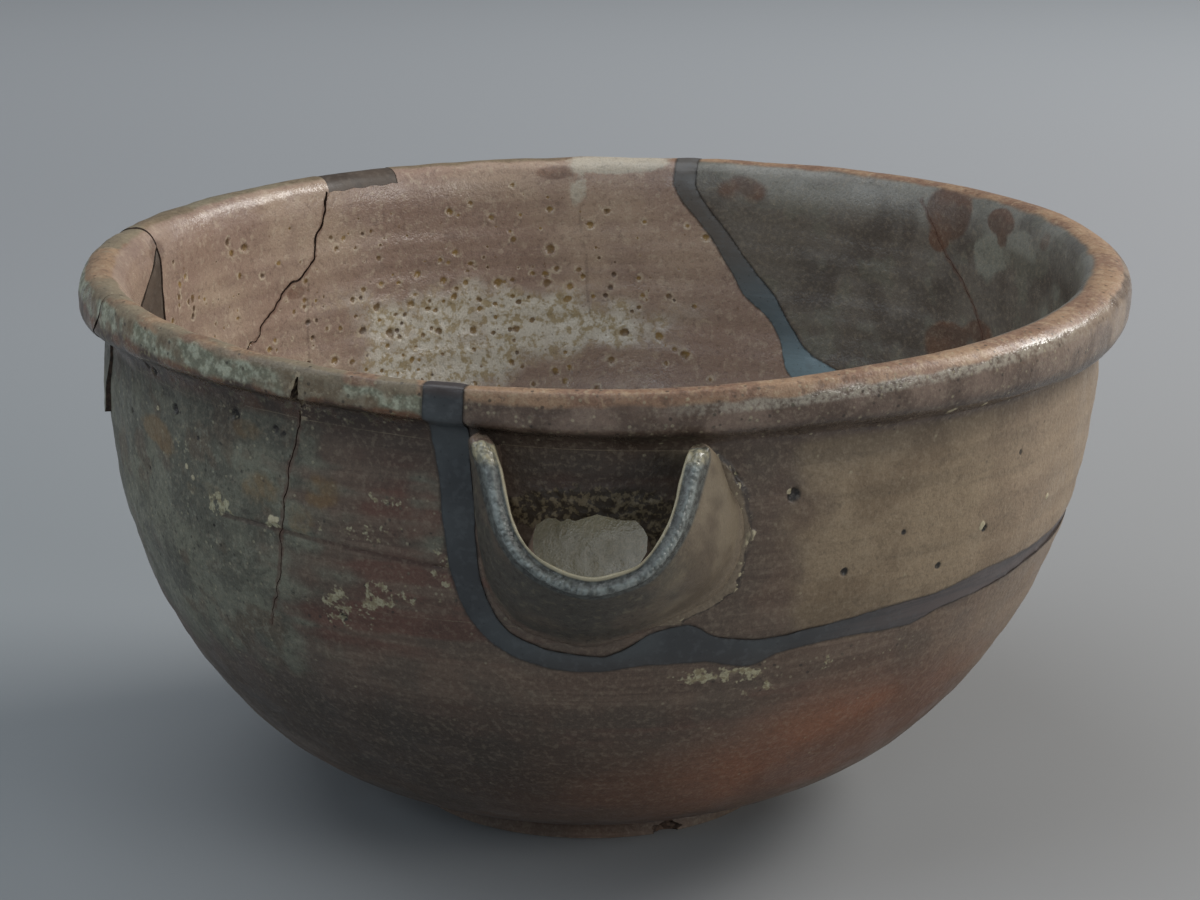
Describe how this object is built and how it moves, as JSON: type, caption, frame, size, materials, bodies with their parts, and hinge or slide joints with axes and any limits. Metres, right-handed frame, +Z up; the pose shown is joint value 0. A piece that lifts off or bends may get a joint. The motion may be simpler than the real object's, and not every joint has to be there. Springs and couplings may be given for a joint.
{
  "type": "cracked bowl",
  "caption": "Hand-thrown stoneware pouring bowl with a rolled rim and a trough spout, broken and put together again with dark filler, with open cracks and chips.",
  "frame": {"origin": "centre of the flat base, on the surface that the bowl stands on", "axes": "+Z up through the bowl's open mouth, -Y the way the spout points, +X to the right as seen from the spout's side"},
  "size_m": [0.2916, 0.3074, 0.1558],
  "materials": {
    "stoneware": "wood-fired stoneware, brown to grey-green natural ash glaze, semi-gloss, pitted",
    "stoneware_sherd": "wood-fired stoneware, khaki brown, satin, with a glossy grey rim",
    "slate_filler": "dark slate filler, smooth satin",
    "brown_filler": "dark brown-grey filler, smooth satin"
  },
  "bodies": {
    "root": {"bowl_body": "stoneware", "spout_sherd": "stoneware_sherd", "mend_seam": "slate_filler", "left_rim_sherd": "stoneware", "wedge_fill": "brown_filler", "rim_fill": "brown_filler"}
  },
  "joints": []
}
